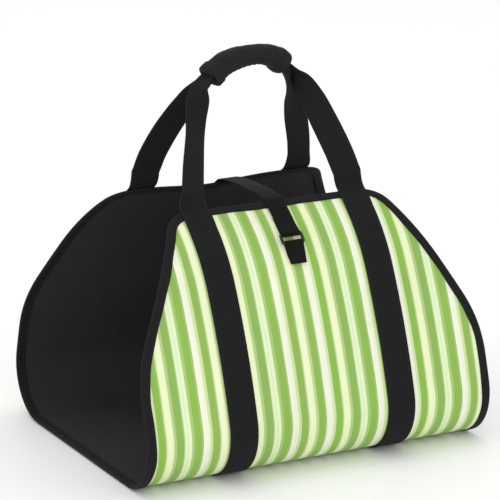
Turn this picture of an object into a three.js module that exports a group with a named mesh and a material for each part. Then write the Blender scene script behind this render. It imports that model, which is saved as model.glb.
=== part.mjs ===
// Firewood carrier. One striped canvas sheet is bent into a U and bound all round. Two loops of
// webbing run under its floor and meet in one padded grip, and a narrow strap closes the mouth.
// Millimetres, +Z up. X runs along the carried wood, the front faces -Y, the floor rests on Z = 0.
import * as THREE from "three";

const { degToRad, lerp } = THREE.MathUtils;
const UP = new THREE.Vector3(0, 0, 1);

// Flat cut of the sheet, measured from the floor's middle line towards one top edge
const SHEET = {
  halfWidth: 230,
  topHalfWidth: 138,
  taperStart: 315,
  shoulderRadius: 170,
  topCornerRadius: 40,
  topCornerSteps: 5,
};

// How half of the sheet bends from the floor's middle up to a top edge, turns in degrees
const BENDS = [
  { stretch: "floor", length: 130, turn: 0, steps: 1 },
  { stretch: "corner", length: 110, turn: 105, steps: 12 },
  { stretch: "wall", length: 160, turn: 11.5, steps: 6 },
  { stretch: "shoulder", length: 105, turn: 32, steps: 7 },
];

// Creases of the sheet lie no closer than this, but for those of the round top corners
const CREASE_GAP = 1.5;

// Thickness of the layers, and the clearance between pieces that are sewn together
const GAP = 0.3;
const PANEL_THICK = 1;
const LINING_THICK = 1;
const BINDING = { thick: 1, cover: 10, rounding: 0.6 };

// The back wall stands askew: from a distance along the sheet up to its top edge it shifts along X
const BACK_SKEW = { from: 280, shift: -8 };

// The two webbing loops: centre lines at plus and minus x, bumped out over the binding near the top edge
const WEBBING = { width: 37, thick: 1.8, x: 106.4, bumpFrom: 476, bumpTo: 489, leave: 503, lift: 513 };

// The grip is bent on an arch of two radii, which is turned by a few degrees and has its crown off the
// bag's middle. Knots are the distances along it, from the crown, through which the straps run.
// The legs lean towards it up to the height fullZ.
const ARCH = { leftRadius: 112, rightRadius: 76, x: 5, crownZ: 468.5, knots: [-67, -33, 0, 25, 51] };
const LEAN = { x: -3.5, y: 4.6, fullZ: 451 };
const HANDLE_YAW = 9;
const LOOP_SPREAD = 1.9;
const FOLDED_WIDTH = 24.5;

// Sections of one leg between the top edge and the arch. Twist is in degrees from lying along X, to
// opposite sides for the two loops, and turn is how far the leg turns further to lie flat on the arch.
// Width narrows as the strap folds together towards the grip. Spread is the share of LOOP_SPREAD by
// which the front loop lies outside the back one, and follow is how far the section goes along with
// the arch's yaw.
const LEG_SECTIONS = [
  { z: 325, x: 104.5, y: 57.5, twist: 12, turn: 0, width: 37, spread: 0, follow: 0 },
  { z: 350, x: 98.5, y: 49, twist: 15, turn: 0, width: 37, spread: 0, follow: 0 },
  { z: 385, x: 87.5, y: 33, twist: 19, turn: 0, width: 36, spread: 0.6, follow: 0.15 },
  { z: 408, x: 80.5, y: 20.5, twist: 19, turn: 13, width: 32, spread: 1.5, follow: 0.5 },
  { z: 426, x: 73.5, y: 10, twist: 8, turn: 46, width: 28, spread: 2, follow: 0.9 },
  { z: 439, x: 66, y: 3.5, twist: 0, turn: 78, width: 25.5, spread: 2.3, follow: 1 },
];
const LEG_STEPS = 4;

// The four legs: front is 1 on the front wall and -1 on the back wall, side is -1 on the left. Sense is
// the way in which the leg turns, ease is the share of the twist that it takes, and aside is its shift
// along X below the arch.
const LEGS = [
  { front: 1, side: -1, sense: -1, ease: 1, aside: 0 },
  { front: 1, side: 1, sense: 1, ease: 1, aside: 0 },
  { front: -1, side: -1, sense: -1, ease: 1, aside: 0 },
  { front: -1, side: 1, sense: -1, ease: 0.5, aside: 2.6 },
];

// Padded grip: oval outside, flat hollow for the two straps, thicker hems at its ends
const GRIP = {
  length: 115,
  slide: -8.5,
  halfWidth: 15.2,
  halfHeight: 11.2,
  hollowHalfWidth: 13.5,
  hollowHalfHeight: 4.4,
};
const GRIP_ROUNDNESS = { outside: 2.5, hollow: 8 };
const GRIP_SIDES = 20;
const GRIP_SWELL = [
  { fromEnd: 0, swell: 0.9 },
  { fromEnd: 2, swell: 1.6 },
  { fromEnd: 8, swell: 1.5 },
  { fromEnd: 10, swell: -0.1 },
  { fromEnd: 18, swell: 0.2 },
  { fromEnd: 28, swell: 0.4 },
  { fromEnd: 38, swell: 0.6 },
  { fromEnd: 48, swell: 0.7 },
  { fromEnd: 55, swell: 0.7 },
];

// Closing strap, its ring and the tab below it, all on the front panel's middle line
const RING = {
  s: 446.5,
  height: 4.1,
  width: 31,
  barSpan: 12.8,
  barWidth: 2.75,
  sideWidth: 3.5,
  thick: 2.6,
  corner: 3.4,
  holeCorner: 1,
  bevel: 0.4,
};
const STRAP = {
  width: 25,
  thick: 1.5,
  sewnBack: 455,
  climbBack: 472,
  flatFrom: 467,
  turnedEnd: 478,
  bridgeReach: 14,
};
const TAB = { endWidth: 20.5, end: 415, tuck: 1, flatTo: 427 };
const BRIDGE_STEPS = 14;

// Turn of a strap round a bar of the ring. Lead is the angle at which it meets the bar, in degrees.
const BAR_TURN = { radius: 3.05, width: 23.4, lead: 65, steps: 10 };

// Finishes
const FINISH = {
  stripes: { color: 0xbcd98f, roughness: 0.85, metalness: 0 },
  lining: { color: 0x222222, roughness: 0.9, metalness: 0 },
  binding: { color: 0x1e1e1e, roughness: 0.8, metalness: 0 },
  webbing: { color: 0x232323, roughness: 0.8, metalness: 0 },
  grip: { color: 0x2b2b2b, roughness: 0.9, metalness: 0 },
  plastic: { color: 0x161616, roughness: 0.4, metalness: 0 },
};

// Levels of the layers, as distances outwards from the panel's outer face
const LINING_OUTER = -PANEL_THICK - GAP;
const LINING_INNER = LINING_OUTER - LINING_THICK;
const BINDING_OUTER = GAP + BINDING.thick;
const BINDING_INNER = LINING_INNER - GAP - BINDING.thick;
const STRAP_LOW = GAP + STRAP.thick / 2;
const STRAP_HIGH = STRAP_LOW + GAP + STRAP.thick;

const HALF_LENGTH = BENDS.reduce((sum, bend) => sum + bend.length, 0);
const FLOOR_Z = GAP + WEBBING.thick;
const TAPER = Math.atan2(SHEET.halfWidth - SHEET.topHalfWidth, HALF_LENGTH - SHEET.taperStart);

// Distance out from the middle, height and heading of the bent half sheet, a distance s along it
function bentProfile(s) {
  let out = 0;
  let height = FLOOR_Z;
  let heading = 0;
  let left = s;
  for (const { length, turn } of BENDS) {
    const run = Math.min(left, length);
    if (turn === 0) {
      out += run * Math.cos(heading);
      height += run * Math.sin(heading);
    } else {
      const radius = length / degToRad(turn);
      const end = heading + run / radius;
      out += radius * (Math.sin(end) - Math.sin(heading));
      height += radius * (Math.cos(heading) - Math.cos(end));
      heading = end;
    }
    left -= run;
    if (left <= 0) break;
  }
  return { out, height, heading };
}

// Half width of the flat cut at a distance s from its middle line: a straight run, a round shoulder,
// a slant and a round corner
function halfWidthAt(s) {
  const distance = Math.abs(s);
  const { halfWidth, taperStart, shoulderRadius, topCornerRadius } = SHEET;
  const shoulderStart = taperStart - shoulderRadius * Math.tan(TAPER / 2);
  const shoulderEnd = shoulderStart + shoulderRadius * Math.sin(TAPER);
  const cornerCentre = HALF_LENGTH - topCornerRadius;
  const slant = (at) => halfWidth - (at - taperStart) * Math.tan(TAPER);
  if (distance <= shoulderStart) return halfWidth;
  if (distance <= shoulderEnd) {
    return halfWidth - shoulderRadius + Math.sqrt(shoulderRadius ** 2 - (distance - shoulderStart) ** 2);
  }
  if (distance <= cornerCentre + topCornerRadius * Math.sin(TAPER)) return slant(distance);
  const centreX = slant(cornerCentre) - topCornerRadius / Math.cos(TAPER);
  return centreX + Math.sqrt(Math.max(0, topCornerRadius ** 2 - (distance - cornerCentre) ** 2));
}

// Distances along the half sheet at which it is creased into facets
function halfMarks() {
  const cornerCentre = HALF_LENGTH - SHEET.topCornerRadius;
  const corner = [];
  for (let step = 0; step <= SHEET.topCornerSteps; step++) {
    const angle = lerp(TAPER, Math.PI / 2, step / SHEET.topCornerSteps);
    corner.push(cornerCentre + SHEET.topCornerRadius * Math.sin(angle));
  }
  const bends = [];
  let start = 0;
  for (const { length, steps } of BENDS) {
    for (let step = 0; step < steps; step++) bends.push(start + (length * step) / steps);
    start += length;
  }
  const apart = bends.filter((mark) => corner.every((other) => Math.abs(mark - other) > CREASE_GAP));
  return [...apart, ...corner].sort((a, b) => a - b);
}

// Every crease from the back top edge to the front one, and the way to offset it with facets kept parallel
function creases() {
  const half = halfMarks();
  const distances = [...half.slice(1).reverse().map((s) => -s), ...half];
  const points = distances.map((s) => {
    const { out, height } = bentProfile(Math.abs(s));
    return new THREE.Vector2(s > 0 ? -out : out, height);
  });
  return distances.map((s, i) => ({ s, point: points[i], offset: mitre(points, i) }));
}

// Offset at a bend of a path in a plane, to the right of its run, that moves both sides by one unit
function mitre(points, i) {
  const before = points[Math.max(i - 1, 0)];
  const here = points[i];
  const after = points[Math.min(i + 1, points.length - 1)];
  const normals = [];
  if (i > 0) normals.push(here.clone().sub(before).normalize());
  if (i < points.length - 1) normals.push(after.clone().sub(here).normalize());
  const sides = normals.map((run) => new THREE.Vector2(run.y, -run.x));
  if (sides.length === 1) return sides[0];
  const share = 1 + sides[0].dot(sides[1]);
  return sides[0].add(sides[1]).divideScalar(share);
}

const CREASES = creases();

// A point of the bent sheet: s along it (front positive), x across it, and a distance out from its face
function onSheet(s, x, out) {
  let i = 0;
  while (i < CREASES.length - 2 && CREASES[i + 1].s < s) i++;
  const [a, b] = [CREASES[i], CREASES[i + 1]];
  const share = (s - a.s) / (b.s - a.s);
  const from = a.point.clone().addScaledVector(a.offset, -out);
  const to = b.point.clone().addScaledVector(b.offset, -out);
  const skew = Math.max(0, (-s - BACK_SKEW.from) / (HALF_LENGTH - BACK_SKEW.from)) * BACK_SKEW.shift;
  return new THREE.Vector3(x + skew, lerp(from.x, to.x, share), lerp(from.y, to.y, share));
}

// Closed body through rings of points; an open row of rings is capped at both ends
function loft(rings, looped = false) {
  const size = rings[0].length;
  const points = rings.flat();
  const faces = [];
  const joins = looped ? rings.length : rings.length - 1;
  for (let ring = 0; ring < joins; ring++) {
    const here = ring * size;
    const next = ((ring + 1) % rings.length) * size;
    for (let side = 0; side < size; side++) {
      const turn = (side + 1) % size;
      faces.push([here + side, here + turn, next + turn]);
      faces.push([here + side, next + turn, next + side]);
    }
  }
  if (!looped) {
    const far = (rings.length - 1) * size;
    for (let side = 1; side < size - 1; side++) {
      faces.push([0, side + 1, side]);
      faces.push([far, far + side, far + side + 1]);
    }
  }
  const volume = faces.reduce((sum, [a, b, c]) => sum + tripleProduct(points[a], points[b], points[c]), 0);
  const outward = volume < 0 ? faces.map(([a, b, c]) => [a, c, b]) : faces;
  const geometry = new THREE.BufferGeometry().setFromPoints(points);
  geometry.setIndex(outward.flat());
  geometry.computeVertexNormals();
  return geometry;
}

function tripleProduct(a, b, c) {
  return a.dot(new THREE.Vector3().crossVectors(b, c));
}

// A layer of the sheet's own outline between two levels
function sheetLayer(low, high) {
  const rings = CREASES.map(({ s }) => {
    const x = halfWidthAt(s);
    return [onSheet(s, -x, low), onSheet(s, x, low), onSheet(s, x, high), onSheet(s, -x, high)];
  });
  return loft(rings);
}

// Tape folded over the edge: a U section carried round the outline of the flat cut
function edgeBinding() {
  const { cover, thick, rounding } = BINDING;
  const section = [
    { inward: cover, level: BINDING_OUTER },
    { inward: rounding - GAP - thick, level: BINDING_OUTER },
    { inward: -GAP - thick, level: BINDING_OUTER - rounding },
    { inward: -GAP - thick, level: BINDING_INNER + rounding },
    { inward: rounding - GAP - thick, level: BINDING_INNER },
    { inward: cover, level: BINDING_INNER },
    { inward: cover, level: BINDING_INNER + thick },
    { inward: -GAP, level: BINDING_INNER + thick },
    { inward: -GAP, level: BINDING_OUTER - thick },
    { inward: cover, level: BINDING_OUTER - thick },
  ];
  const right = CREASES.map(({ s }) => new THREE.Vector2(s, halfWidthAt(s)));
  const left = right.map((point) => new THREE.Vector2(point.x, -point.y)).reverse();
  const outline = [...right, ...left];
  const count = outline.length;
  const rings = outline.map((point, i) => {
    const corner = [outline[(i + count - 1) % count], point, outline[(i + 1) % count]];
    const inwards = mitre(corner, 1);
    return section.map(({ inward, level }) => {
      const at = point.clone().addScaledVector(inwards, inward);
      return onSheet(at.x, at.y, level);
    });
  });
  return loft(rings, true);
}

// Corners of a flat strap's section: across its width, then out through its thickness
function strapSection(centre, across, out, width, thick) {
  const corner = (w, t) =>
    centre.clone().addScaledVector(across, (w * width) / 2).addScaledVector(out, (t * thick) / 2);
  return [corner(-1, -1), corner(1, -1), corner(1, 1), corner(-1, 1)];
}

// How far the webbing's inner face stands out from the panel at a distance s from the floor's middle
function webbingLevel(s) {
  const share = THREE.MathUtils.clamp((s - WEBBING.bumpFrom) / (WEBBING.bumpTo - WEBBING.bumpFrom), 0, 1);
  return GAP + share * BINDING_OUTER;
}

// One webbing loop. front is 1 for the loop on the front wall and -1 for the one on the back wall.
function webbingLoop(front) {
  const { width, thick, x, leave, lift } = WEBBING;
  const middle = webbingLevel(leave) + thick / 2;
  const distances = [GAP / 2, ...halfMarks().filter((s) => s > GAP && s < WEBBING.bumpFrom - CREASE_GAP)];
  distances.push(WEBBING.bumpFrom, WEBBING.bumpTo, leave);

  const legAt = (side) => LEGS.find((leg) => leg.front === front && leg.side === side);
  const sewn = (side) =>
    distances.map((s) => {
      const level = webbingLevel(s);
      const inner = side * (x - width / 2);
      const outer = side * (x + width / 2);
      const corners = [
        onSheet(front * s, outer, level),
        onSheet(front * s, inner, level),
        onSheet(front * s, inner, level + thick),
        onSheet(front * s, outer, level + thick),
      ];
      return legAt(side).sense < 0 ? corners : [...corners.slice(2), ...corners.slice(0, 2)];
    });

  const acrossAt = (side, twist, turn) => {
    const { sense, ease } = legAt(side);
    const angle = degToRad(front * ease * twist + sense * turn);
    return new THREE.Vector3(side * Math.cos(angle), -Math.sin(angle), 0).multiplyScalar(sense);
  };
  const yawed = (vector, share) => vector.applyAxisAngle(UP, degToRad(HANDLE_YAW * share));
  const edge = onSheet(front * leave, 0, middle);
  const leaned = (point) => {
    const share = THREE.MathUtils.clamp((point.z - edge.z) / (LEAN.fullZ - edge.z), 0, 1);
    return point.add(new THREE.Vector3(lerp(edge.x, LEAN.x, share), LEAN.y * share, 0));
  };
  const leg = (side) =>
    LEG_SECTIONS.map(({ z, x: reach, y, twist, turn, width: wide, spread, follow }) => {
      const shifted = side * (reach + front * spread * LOOP_SPREAD) + legAt(side).aside * (1 - follow);
      const place = new THREE.Vector3(shifted, -front * y, z);
      const across = yawed(acrossAt(side, twist, turn), 1).multiplyScalar(wide);
      return { point: leaned(yawed(place, follow)), across };
    });
  const arch = ARCH.knots.map((at) => ({
    point: archPoint(at, 0, front * LOOP_SPREAD),
    across: yawed(acrossAt(-1, 0, 90), 1).multiplyScalar(FOLDED_WIDTH),
  }));
  const knots = [...leg(-1), ...arch, ...leg(1).reverse()];

  // The turn from lying on the panel to standing up, between the top edge and the first leg section
  const turnUp = (side, knot) => {
    const curve = new THREE.QuadraticBezierCurve3(
      onSheet(front * leave, side * x, middle),
      onSheet(front * lift, side * x, middle),
      knot.point,
    );
    return curve.getPoints(LEG_STEPS).map((point, i) => ({
      point,
      across: acrossAt(side, 0, 0).multiplyScalar(width).lerp(knot.across, (i / LEG_STEPS) ** 2),
    }));
  };
  const run = [];
  const curve = new THREE.CatmullRomCurve3(knots.map((knot) => knot.point));
  for (let i = 0; i < knots.length - 1; i++) {
    for (let step = 0; step < LEG_STEPS; step++) {
      const share = step / LEG_STEPS;
      run.push({
        point: curve.getPoint((i + share) / (knots.length - 1)),
        across: knots[i].across.clone().lerp(knots[i + 1].across, share),
      });
    }
  }
  const rise = turnUp(-1, knots[0]).slice(0, -1);
  const fall = turnUp(1, knots[knots.length - 1]).reverse();
  const free = [...rise, ...run, ...fall];
  const sections = free.slice(1, -1).map(({ point, across }, i) => {
    const along = free[i + 2].point.clone().sub(free[i].point).normalize();
    const square = across.clone().addScaledVector(along, -across.dot(along)).normalize();
    const out = new THREE.Vector3().crossVectors(square, along).multiplyScalar(front);
    return strapSection(point, square, out, across.length(), (thick * width) / across.length());
  });
  return loft([...sewn(-1), ...sections, ...sewn(1).reverse()]);
}

// A point of the handle's arch: a distance along it from its crown, y across it, and a distance out from it
function archPoint(at, y, out) {
  const radius = at < 0 ? ARCH.leftRadius : ARCH.rightRadius;
  const reach = radius + out;
  const turn = at / radius;
  const z = ARCH.crownZ - radius + reach * Math.cos(turn);
  const point = new THREE.Vector3(reach * Math.sin(turn), y, z);
  return point.applyAxisAngle(UP, degToRad(HANDLE_YAW)).add(new THREE.Vector3(ARCH.x, LEAN.y, 0));
}

// Oval ring of the grip at a distance along the arch
function gripRing(at, halfWidth, halfHeight, roundness) {
  const bow = (value) => Math.sign(value) * Math.abs(value) ** (2 / roundness);
  const ring = [];
  for (let side = 0; side < GRIP_SIDES; side++) {
    const turn = (2 * Math.PI * (side + 0.5)) / GRIP_SIDES;
    ring.push(archPoint(at, halfWidth * bow(Math.cos(turn)), halfHeight * bow(Math.sin(turn))));
  }
  return ring;
}

// Padded wrap round both straps, open at its two ends
function handleGrip() {
  const ends = GRIP_SWELL.map(({ fromEnd, swell }) => ({ at: fromEnd - GRIP.length / 2, swell }));
  const rows = [...ends, ...ends.map(({ at, swell }) => ({ at: -at, swell })).reverse()];
  const outside = rows.map(({ at, swell }) =>
    gripRing(at + GRIP.slide, GRIP.halfWidth + swell, GRIP.halfHeight + swell, GRIP_ROUNDNESS.outside),
  );
  const hollow = rows.map(({ at }) =>
    gripRing(at + GRIP.slide, GRIP.hollowHalfWidth, GRIP.hollowHalfHeight, GRIP_ROUNDNESS.hollow),
  );
  return loft([...outside, ...hollow.reverse()], true);
}

// A strap that lies square across X and follows a path in the plane of Y and Z
function planeStrap(path, widths, thick) {
  const flat = path.map((point) => new THREE.Vector2(point.y, point.z));
  const across = new THREE.Vector3(1, 0, 0);
  const rings = path.map((point, i) => {
    const side = mitre(flat, i);
    return strapSection(point, across, new THREE.Vector3(0, side.x, side.y), widths[i], thick);
  });
  return loft(rings);
}

// Rows of a strap's turn round a bar of the ring, between two angles in degrees
function barTurn(barS, from, to) {
  const { radius, width, steps } = BAR_TURN;
  const turn = [];
  for (let step = 0; step <= steps; step++) {
    const angle = degToRad(lerp(from, to, step / steps));
    const level = RING.height + radius * Math.sin(angle);
    turn.push({ s: barS + radius * Math.cos(angle), level, width });
  }
  return turn;
}

const UPPER_BAR = RING.s + RING.barSpan / 2;
const LOWER_BAR = RING.s - RING.barSpan / 2;

// Sewn to the back panel, over the mouth, round the ring's upper bar and back under itself
function closingStrap() {
  const { width, thick, sewnBack, climbBack, flatFrom, turnedEnd, bridgeReach } = STRAP;
  const backRows = [
    { s: -sewnBack, level: STRAP_LOW, width },
    { s: -climbBack, level: STRAP_LOW, width },
    { s: -WEBBING.bumpTo, level: STRAP_HIGH, width },
    { s: -HALF_LENGTH, level: STRAP_HIGH, width },
  ];
  const frontRows = [
    { s: HALF_LENGTH, level: STRAP_HIGH, width },
    { s: WEBBING.bumpTo, level: STRAP_HIGH, width },
    { s: flatFrom, level: STRAP_HIGH, width },
    ...barTurn(UPPER_BAR, BAR_TURN.lead, 270),
    { s: flatFrom, level: STRAP_LOW, width },
    { s: turnedEnd, level: STRAP_LOW, width },
  ];
  const place = ({ s, level }) => onSheet(s, 0, level).setX(0);
  const leaving = place({ s: HALF_LENGTH, level: STRAP_HIGH });
  const beyond = place({ s: HALF_LENGTH + bridgeReach, level: STRAP_HIGH });
  const mirrored = (point) => new THREE.Vector3(point.x, -point.y, point.z);
  const bridge = new THREE.CubicBezierCurve3(mirrored(leaving), mirrored(beyond), beyond, leaving);
  const crossing = bridge.getPoints(BRIDGE_STEPS).slice(1, -1);
  const path = [...backRows.map(place), ...crossing, ...frontRows.map(place)];
  const widths = [
    ...backRows.map((row) => row.width),
    ...crossing.map(() => width),
    ...frontRows.map((row) => row.width),
  ];
  return planeStrap(path, widths, thick);
}

// Sewn flat on the front panel, up round the ring's lower bar and down over itself
function buckleTab() {
  const rows = [
    { s: TAB.end + TAB.tuck, level: STRAP_LOW, width: TAB.endWidth },
    { s: TAB.flatTo, level: STRAP_LOW, width: BAR_TURN.width },
    ...barTurn(LOWER_BAR, -90, 180 - BAR_TURN.lead),
    { s: TAB.flatTo, level: STRAP_HIGH, width: BAR_TURN.width },
    { s: TAB.end, level: STRAP_HIGH, width: TAB.endWidth },
  ];
  const path = rows.map(({ s, level }) => onSheet(s, 0, level));
  return planeStrap(path, rows.map((row) => row.width), STRAP.thick);
}

// Outline of a rectangle with round corners, centred on the origin
function roundedRectangle(target, width, height, radius) {
  const [x, y] = [width / 2 - radius, height / 2 - radius];
  target.absarc(x, y, radius, 0, Math.PI / 2);
  target.absarc(-x, y, radius, Math.PI / 2, Math.PI);
  target.absarc(-x, -y, radius, Math.PI, 1.5 * Math.PI);
  target.absarc(x, -y, radius, 1.5 * Math.PI, 2 * Math.PI);
  return target;
}

// Flat ring with two bars across and two wider sides
function buckleRing() {
  const { width, barWidth, sideWidth, barSpan, thick, corner, holeCorner, bevel } = RING;
  const outline = roundedRectangle(new THREE.Shape(), width, barSpan + barWidth, corner);
  const hole = new THREE.Path();
  outline.holes.push(roundedRectangle(hole, width - 2 * sideWidth, barSpan - barWidth, holeCorner));
  const geometry = new THREE.ExtrudeGeometry(outline, {
    depth: thick - 2 * bevel,
    curveSegments: 4,
    bevelThickness: bevel,
    bevelSize: bevel,
    bevelOffset: -bevel,
    bevelSegments: 1,
  });
  return geometry.translate(0, 0, bevel - thick / 2);
}

function addPiece(group, name, geometry, finish) {
  const mesh = new THREE.Mesh(geometry, new THREE.MeshStandardMaterial(FINISH[finish]));
  mesh.name = name;
  group.add(mesh);
  return mesh;
}

const carrier = new THREE.Group();
addPiece(carrier, "outer_panel", sheetLayer(-PANEL_THICK, 0), "stripes");
addPiece(carrier, "lining", sheetLayer(LINING_INNER, LINING_OUTER), "lining");
addPiece(carrier, "edge_binding", edgeBinding(), "binding");
addPiece(carrier, "webbing_front", webbingLoop(1), "webbing");
addPiece(carrier, "webbing_back", webbingLoop(-1), "webbing");
addPiece(carrier, "handle_grip", handleGrip(), "grip");
addPiece(carrier, "closing_strap", closingStrap(), "webbing");
addPiece(carrier, "buckle_tab", buckleTab(), "webbing");

// The ring lies on the front panel, turned to its slope there
const ring = addPiece(carrier, "buckle_ring", buckleRing(), "plastic");
ring.position.copy(onSheet(RING.s, 0, RING.height));
ring.rotation.x = Math.PI - bentProfile(RING.s).heading;

export default carrier;
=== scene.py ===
"""Firewood carrier: a striped canvas sheet bent into a U, black webbing loops, bound edges, a padded grip
and a closing strap."""

import math

import bpy
import numpy as np
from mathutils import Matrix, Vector


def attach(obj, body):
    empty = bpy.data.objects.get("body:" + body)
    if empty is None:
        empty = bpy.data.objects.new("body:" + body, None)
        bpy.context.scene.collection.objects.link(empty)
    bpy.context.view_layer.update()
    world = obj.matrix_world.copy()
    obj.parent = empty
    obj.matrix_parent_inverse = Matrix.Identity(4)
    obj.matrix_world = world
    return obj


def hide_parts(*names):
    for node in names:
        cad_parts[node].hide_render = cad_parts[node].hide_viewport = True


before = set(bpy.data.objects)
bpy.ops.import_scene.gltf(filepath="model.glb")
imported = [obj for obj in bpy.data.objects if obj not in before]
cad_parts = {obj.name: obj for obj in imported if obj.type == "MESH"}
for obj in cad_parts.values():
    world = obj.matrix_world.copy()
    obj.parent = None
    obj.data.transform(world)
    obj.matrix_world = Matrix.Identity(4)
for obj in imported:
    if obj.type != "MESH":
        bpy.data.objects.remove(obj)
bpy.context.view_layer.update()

MM = 0.001

# Flat cut of the sheet, in mm, from the floor's middle line towards one top edge
HALF_WIDTH = 230.0
TOP_HALF_WIDTH = 138.0
TAPER_START = 315.0
SHOULDER_RADIUS = 170.0
TOP_CORNER_RADIUS = 40.0

# How half of the sheet bends from the floor's middle up to a top edge: length in mm and turn in degrees
BENDS = ((130.0, 0.0), (110.0, 105.0), (160.0, 11.5), (105.0, 32.0))
HALF_LENGTH = sum(length for length, _ in BENDS)
TAPER = math.atan2(HALF_WIDTH - TOP_HALF_WIDTH, HALF_LENGTH - TAPER_START)

# Layers, as distances in mm outwards from the canvas's outer face
GAP = 0.3
CANVAS = (-1.0, 0.0)
LINING = (-2.3, -1.3)
BINDING_OUTER = (0.3, 1.3)
BINDING_INNER = (-3.6, -2.6)
BINDING_COVER = 10.0
BINDING_REACH = 1.3
BINDING_FACE = (7.0, 4.0, 2.2)
BINDING_FOLD = 1.0
BINDING_BEVEL = (0.4, 0.25)
EDGE_STEP = 3.6

# Uneven inner edges and small puckers of the binding, in mm: waves of (height, length of a radian, phase)
# and the span inwards over which they set in
BINDING_UNEVEN = {"waves": ((0.35, 17.0, 0.0), (0.25, 7.3, 1.0)), "span": (4.0, 9.0)}
BINDING_PUCKER = {"waves": ((0.12, 2.1, 0.0), (0.08, 3.7, 0.5)), "span": (2.0, 6.0)}

# Wide webbing, in mm
WEBBING_WIDTH = 37.0
WEBBING_THICK = 1.8
WEBBING_X = 106.4
BUMP = (476.0, 489.0)
LEAVE = 503.0
LIFT = 513.0
FLOOR_Z = GAP + WEBBING_THICK

# The back wall stands askew: from a distance along the sheet up to its top edge it shifts along X
BACK_SKEW = {"from": 280.0, "shift": -8.0, "most": 1.2}

# Waves of the standing walls: height in mm, and the distances across and along the sheet that turn each
# by a radian. They start above the floor's bend and are calmer towards the sides and the top edges.
WAVES = (
    {"height": 1.1, "across": 61.0, "along": 240.0, "phase": 0.6},
    {"height": 0.7, "across": 34.0, "along": -95.0, "phase": 0.0},
)
WAVE_START = (170.0, 300.0)
SIDE_CALM = {"reach": 85.0, "share": 0.65}
TOP_CALM = {"span": (440.0, 500.0), "share": 0.7}

# Slack of each wall's top edge (front 1, back -1): depth in mm, span on the sheet, middle and reach in X
SLACK = (
    {"wall": -1.0, "depth": 4.5, "span": (380.0, 500.0), "x": -22.0, "reach": 52.0},
    {"wall": 1.0, "depth": 1.6, "span": (400.0, 500.0), "x": 0.0, "reach": 60.0},
)

# Handle: the arch of the grip and the legs that lead up to it
ARCH = {"left_radius": 112.0, "right_radius": 76.0, "x": 5.0, "crown_z": 468.5}
ARCH_KNOTS = (-67.0, -33.0, 0.0, 25.0, 51.0)
LEAN = {"x": -3.5, "y": 4.6, "full_z": 451.0}
HANDLE_YAW = math.radians(9.0)
LOOP_SPREAD = 1.9
FOLDED_WIDTH = 24.5
FOLD_CURL = 4.0
LEG_COLUMNS = ("z", "x", "y", "twist", "turn", "width", "spread", "follow")
LEG_SECTIONS = [
    dict(zip(LEG_COLUMNS, row))
    for row in (
        (325.0, 104.5, 57.5, 12.0, 0.0, 37.0, 0.0, 0.0),
        (350.0, 98.5, 49.0, 15.0, 0.0, 37.0, 0.0, 0.0),
        (385.0, 87.5, 33.0, 19.0, 0.0, 36.0, 0.6, 0.15),
        (408.0, 80.5, 20.5, 19.0, 13.0, 32.0, 1.5, 0.5),
        (426.0, 73.5, 10.0, 8.0, 46.0, 28.0, 2.0, 0.9),
        (439.0, 66.0, 3.5, 0.0, 78.0, 25.5, 2.3, 1.0),
    )
]

# The way in which each leg turns towards the grip, the share of the twist that it takes and its shift
# along X, by wall (front 1, back -1) and side (left -1, right 1)
LEGS = {
    (1.0, -1.0): {"sense": -1.0, "ease": 1.0, "aside": 0.0},
    (1.0, 1.0): {"sense": 1.0, "ease": 1.0, "aside": 0.0},
    (-1.0, -1.0): {"sense": -1.0, "ease": 1.0, "aside": 0.0},
    (-1.0, 1.0): {"sense": -1.0, "ease": 0.5, "aside": 2.6},
}

# Padded grip
GRIP = {
    "length": 115.0,
    "slide": -8.5,
    "half_width": 14.7,
    "half_height": 10.7,
    "power": 0.8,
    "hollow_half_width": 13.0,
    "hollow_half_height": 4.4,
    "hollow_power": 0.25,
}
GRIP_HEM = 12.0

# Padding on the grip's oval, in mm: rows of the distance along the grip from its middle, and of how far
# the padding stands out at the top, underneath and at the sides
GRIP_PADDING = (
    (-57.5, 1.6, 2.2, 1.9),
    (-46.0, 2.6, 1.0, 1.2),
    (-30.0, 4.0, 0.0, 0.3),
    (-14.0, 2.6, 0.0, 0.0),
    (2.0, 0.6, 0.0, 0.0),
    (12.0, 0.0, 0.0, 0.0),
    (26.0, 1.6, 0.3, 0.2),
    (42.0, 3.6, 1.4, 0.8),
    (57.5, 2.2, 3.0, 1.6),
)

# Section of each hem: rows of the distance from the grip's end and of how far it stands out, in mm
HEM_SECTION = ((0.0, 0.2), (0.5, 1.1), (1.6, 1.6), (6.0, 1.8), (10.2, 1.6), (11.4, 0.9), (GRIP_HEM, 0.1))
HEM_TO_CLOTH = 1.2
CLOTH_SWELL = 0.25

# Folds pressed into the padding: rows of the distance along the grip, the share of its girth (0 is
# underneath, 0.5 top, 0.75 front), the slant in mm per turn and the depth
GRIP_FOLDS = (
    (-36.0, 0.70, 46.0, 1.0),
    (-17.0, 0.63, -60.0, 0.7),
    (4.0, 0.72, 52.0, 0.8),
    (21.0, 0.60, -44.0, 0.7),
    (35.0, 0.73, 60.0, 1.0),
    (-28.0, 0.31, 55.0, 0.8),
    (3.0, 0.36, -48.0, 0.8),
    (29.0, 0.28, 50.0, 0.9),
)
FOLD_WIDTH = 3.6
FOLD_REACH = 0.12

# Gathers and the seam on the grip's underside, in mm
GATHERS = {"height": 0.45, "step": 1.35, "fade": 12.0, "low": 0.35, "wander": (0.7, 0.31)}
GRIP_SEAM = {"depth": 0.7, "width": 1.3}

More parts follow.
